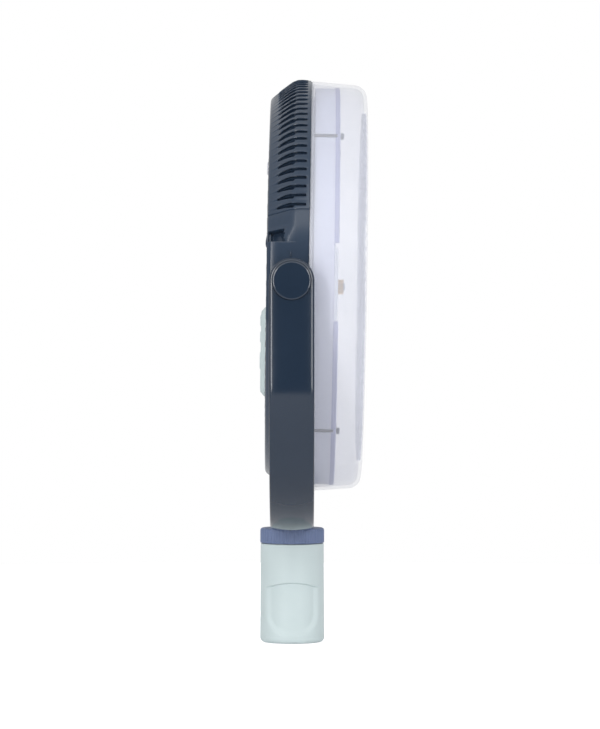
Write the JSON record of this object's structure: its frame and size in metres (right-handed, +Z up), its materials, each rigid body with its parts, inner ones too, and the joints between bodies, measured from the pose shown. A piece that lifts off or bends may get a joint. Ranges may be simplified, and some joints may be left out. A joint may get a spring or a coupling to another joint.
{
  "type": "portable yoke fan",
  "caption": "Round portable fan head with a frosted front guard, tilting in a U-shaped yoke that swivels on a ribbed lock collar and a short battery grip.",
  "frame": {"origin": "centre of the grip's bottom face", "axes": "+X out of the fan's front, +Y to the left seen from behind, +Z up along the grip's swivel axis"},
  "size_m": [0.0729, 0.3088, 0.3826],
  "materials": {
    "slate_plastic": "satin moulded",
    "sage_plastic": "satin moulded",
    "collar_plastic": "satin moulded, ribbed",
    "frosted_plastic": "frosted translucent",
    "lavender_plastic": "translucent moulded",
    "pale_grey_plastic": "satin moulded",
    "bright_steel": "zinc plated",
    "dark_steel": "blackened",
    "brass": "turned",
    "copper": "enamelled wire",
    "circuit_board": "solder mask",
    "cell_wrap": "heat-shrink sleeve",
    "black_rubber": "moulded"
  },
  "bodies": {
    "grip": {"grip_shell": "sage_plastic", "grip_base_cap": "sage_plastic", "contact_plate_lower": "circuit_board", "contact_plate_upper": "circuit_board", "battery_cell_left": "cell_wrap", "battery_cell_right": "cell_wrap", "contact_spring_left": "bright_steel", "contact_spring_right": "bright_steel", "charge_socket": "bright_steel", "charge_board": "circuit_board", "swivel_post": "dark_steel", "swivel_washer": "brass", "swivel_nut": "bright_steel"},
    "collar": {"lock_collar": "collar_plastic"},
    "yoke": {"yoke_shell": "slate_plastic", "yoke_liner": "slate_plastic", "pivot_cap_left": "slate_plastic", "pivot_cap_right": "slate_plastic", "friction_washer_left": "black_rubber", "friction_washer_right": "black_rubber", "arm_cable": "black_rubber"},
    "head": {"rear_housing": "slate_plastic", "rear_grille": "slate_plastic", "front_guard": "frosted_plastic", "duct_ring": "lavender_plastic", "guard_screw_1": "dark_steel", "guard_screw_2": "dark_steel", "guard_screw_3": "dark_steel", "guard_screw_4": "dark_steel", "pivot_bolt_left": "bright_steel", "pivot_bolt_right": "bright_steel", "pivot_nut_left": "bright_steel", "pivot_nut_right": "bright_steel", "control_board": "circuit_board", "control_pod": "sage_plastic", "timer_switch": "black_rubber", "motor_base": "dark_steel", "stator": "copper", "bearing_rear": "bright_steel", "bearing_front": "bright_steel"},
    "rotor": {"motor_shaft": "bright_steel", "magnet_bell": "dark_steel", "magnet_ring": "black_rubber", "impeller": "frosted_plastic", "impeller_nut": "brass"},
    "power": {"power_key": "sage_plastic"},
    "slower": {"slower_key": "sage_plastic"},
    "faster": {"faster_key": "sage_plastic"},
    "timer": {"timer_button": "pale_grey_plastic"}
  },
  "joints": [
    {"name": "yoke_swivel", "type": "hinge", "parent": "grip", "child": "yoke", "pos_m": [0, 0, 0.08], "axis": [0, 0, 1], "range_deg": [-180, 180]},
    {"name": "collar_turn", "type": "hinge", "parent": "grip", "child": "collar", "pos_m": [0, 0, 0.0727], "axis": [0, 0, 1], "range_deg": [0, 60]},
    {"name": "head_tilt", "type": "hinge", "parent": "yoke", "child": "head", "pos_m": [0, 0, 0.2427], "axis": [0, -1, 0], "range_deg": [-90, 90]},
    {"name": "fan_spin", "type": "hinge", "parent": "head", "child": "rotor", "pos_m": [0, 0, 0.2427], "axis": [0.9999, 0, -0.0157], "continuous": true},
    {"name": "power_press", "type": "slide", "parent": "head", "child": "power", "axis": [0.9999, 0, -0.0157], "range_m": [0, 0.0008], "stiffness_N_per_m": 400, "springref_m": -0.001},
    {"name": "slower_press", "type": "slide", "parent": "head", "child": "slower", "axis": [0.9999, 0, -0.0157], "range_m": [0, 0.0008], "stiffness_N_per_m": 400, "springref_m": -0.001},
    {"name": "faster_press", "type": "slide", "parent": "head", "child": "faster", "axis": [0.9999, 0, -0.0157], "range_m": [0, 0.0008], "stiffness_N_per_m": 400, "springref_m": -0.001},
    {"name": "timer_press", "type": "slide", "parent": "head", "child": "timer", "axis": [0.9999, 0, -0.0157], "range_m": [0, 0.0008], "stiffness_N_per_m": 400, "springref_m": -0.001}
  ]
}
